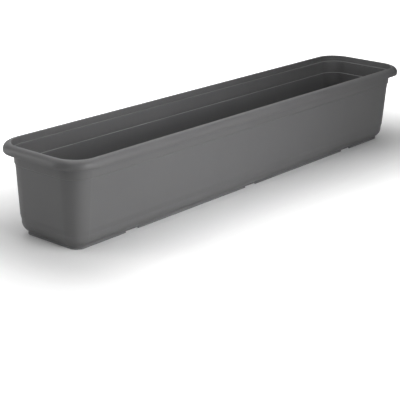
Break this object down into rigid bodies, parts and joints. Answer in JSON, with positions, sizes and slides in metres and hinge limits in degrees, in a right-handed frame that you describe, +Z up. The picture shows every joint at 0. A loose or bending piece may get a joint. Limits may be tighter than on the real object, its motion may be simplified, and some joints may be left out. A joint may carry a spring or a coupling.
{
  "type": "window box planter",
  "caption": "Long moulded plastic window box with a rolled rim, lift-out drainage grids over a water reservoir, and push-in drain plugs.",
  "frame": {"origin": "on the ground, in the middle of the foot", "axes": "+X along the length, -Y is the front, +Z up"},
  "size_m": [1, 0.2, 0.16],
  "materials": {
    "box_plastic": "dark grey polypropylene with a satin moulded surface",
    "grid_plastic": "near-black polypropylene, matt",
    "plug_plastic": "soft dark polyethylene, matt"
  },
  "bodies": {
    "trough": {"planter_trough": "box_plastic"},
    "grid_left": {"drainage_grid_left": "grid_plastic"},
    "grid_right": {"drainage_grid_right": "grid_plastic"},
    "plug_left_front": {"drain_plug_left_front": "plug_plastic"},
    "plug_left_rear": {"drain_plug_left_rear": "plug_plastic"},
    "plug_middle_front": {"drain_plug_middle_front": "plug_plastic"},
    "plug_middle_rear": {"drain_plug_middle_rear": "plug_plastic"},
    "plug_right_front": {"drain_plug_right_front": "plug_plastic"},
    "plug_right_rear": {"drain_plug_right_rear": "plug_plastic"}
  },
  "joints": [
    {"name": "grid_left_lift", "type": "slide", "parent": "trough", "child": "grid_left", "axis": [0, 0, 1], "range_m": [0, 0.155]},
    {"name": "grid_right_lift", "type": "slide", "parent": "trough", "child": "grid_right", "axis": [0, 0, 1], "range_m": [0, 0.155]},
    {"name": "plug_left_front_pull", "type": "slide", "parent": "trough", "child": "plug_left_front", "axis": [0, 0, 1], "range_m": [0, 0.009]},
    {"name": "plug_left_rear_pull", "type": "slide", "parent": "trough", "child": "plug_left_rear", "axis": [0, 0, 1], "range_m": [0, 0.009]},
    {"name": "plug_middle_front_pull", "type": "slide", "parent": "trough", "child": "plug_middle_front", "axis": [0, 0, 1], "range_m": [0, 0.009]},
    {"name": "plug_middle_rear_pull", "type": "slide", "parent": "trough", "child": "plug_middle_rear", "axis": [0, 0, 1], "range_m": [0, 0.009]},
    {"name": "plug_right_front_pull", "type": "slide", "parent": "trough", "child": "plug_right_front", "axis": [0, 0, 1], "range_m": [0, 0.009]},
    {"name": "plug_right_rear_pull", "type": "slide", "parent": "trough", "child": "plug_right_rear", "axis": [0, 0, 1], "range_m": [0, 0.009]}
  ]
}
